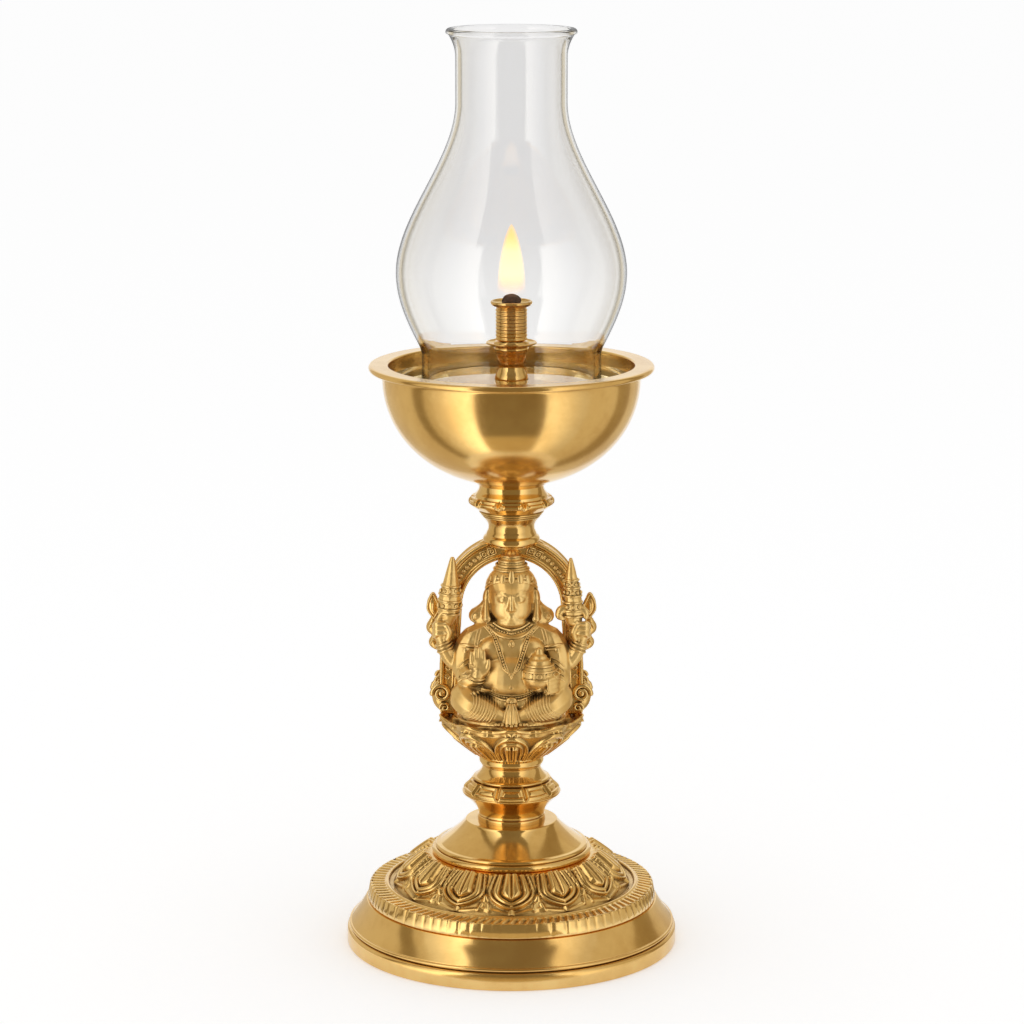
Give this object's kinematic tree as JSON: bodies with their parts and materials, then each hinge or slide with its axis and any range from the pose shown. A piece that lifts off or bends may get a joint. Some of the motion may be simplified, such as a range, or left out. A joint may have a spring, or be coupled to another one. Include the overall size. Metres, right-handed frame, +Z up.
{
  "type": "standing oil lamp",
  "caption": "Standing brass oil lamp with a lotus-petal foot, a seated figure under an arch, an oil bowl with a screw-adjusted wick burner and a lift-off glass chimney.",
  "frame": {"origin": "centre of the foot's underside, on the surface that the lamp stands on", "axes": "+Z up along the lamp's axis, -Y the way the figure faces, +X to the viewer's right"},
  "size_m": [0.122, 0.122, 0.336],
  "materials": {
    "turned_brass": "turned and polished",
    "cast_brass": "cast, polished on the high places, dark in the recesses",
    "steel": "bright zinc",
    "seal": "oil-proof sheet",
    "cotton": "twisted cotton with a charred head",
    "glass": "clear, fire polished"
  },
  "bodies": {
    "lamp": {"base_foot": "turned_brass", "petal_dome": "cast_brass", "foot_screws": "steel", "base_cone": "turned_brass", "tie_rod": "steel", "tie_washer": "steel", "tie_nut": "steel", "lower_stem": "turned_brass", "lotus_seat": "cast_brass", "figure": "cast_brass", "figure_pins": "turned_brass", "arch": "cast_brass", "arch_pins": "turned_brass", "upper_stem": "turned_brass", "bowl_stud": "steel", "oil_bowl": "turned_brass", "pillar_seal": "seal", "burner_pillar": "turned_brass"},
    "drip_collar": {"drip_collar": "turned_brass"},
    "wick_tube": {"wick_tube": "turned_brass"},
    "wick": {"wick": "cotton"},
    "chimney": {"chimney": "glass"}
  },
  "joints": [
    {"name": "burner_rise", "type": "slide", "parent": "lamp", "child": "drip_collar", "axis": [0, 0, 1], "range_m": [0, 0.006]},
    {"name": "burner_turn", "type": "hinge", "parent": "drip_collar", "child": "wick_tube", "pos_m": [0, 0, 0.23], "axis": [0, 0, 1], "range_deg": [0, 1440]},
    {"name": "wick_feed", "type": "slide", "parent": "wick_tube", "child": "wick", "axis": [0, 0, 1], "range_m": [0, 0.012]},
    {"name": "chimney_lift", "type": "slide", "parent": "lamp", "child": "chimney", "axis": [0, 0, 1], "range_m": [0, 0.08]}
  ],
  "couplings": [
    {"joint": "burner_rise", "follows": "burner_turn", "m_per_rad": 0.00023873}
  ]
}
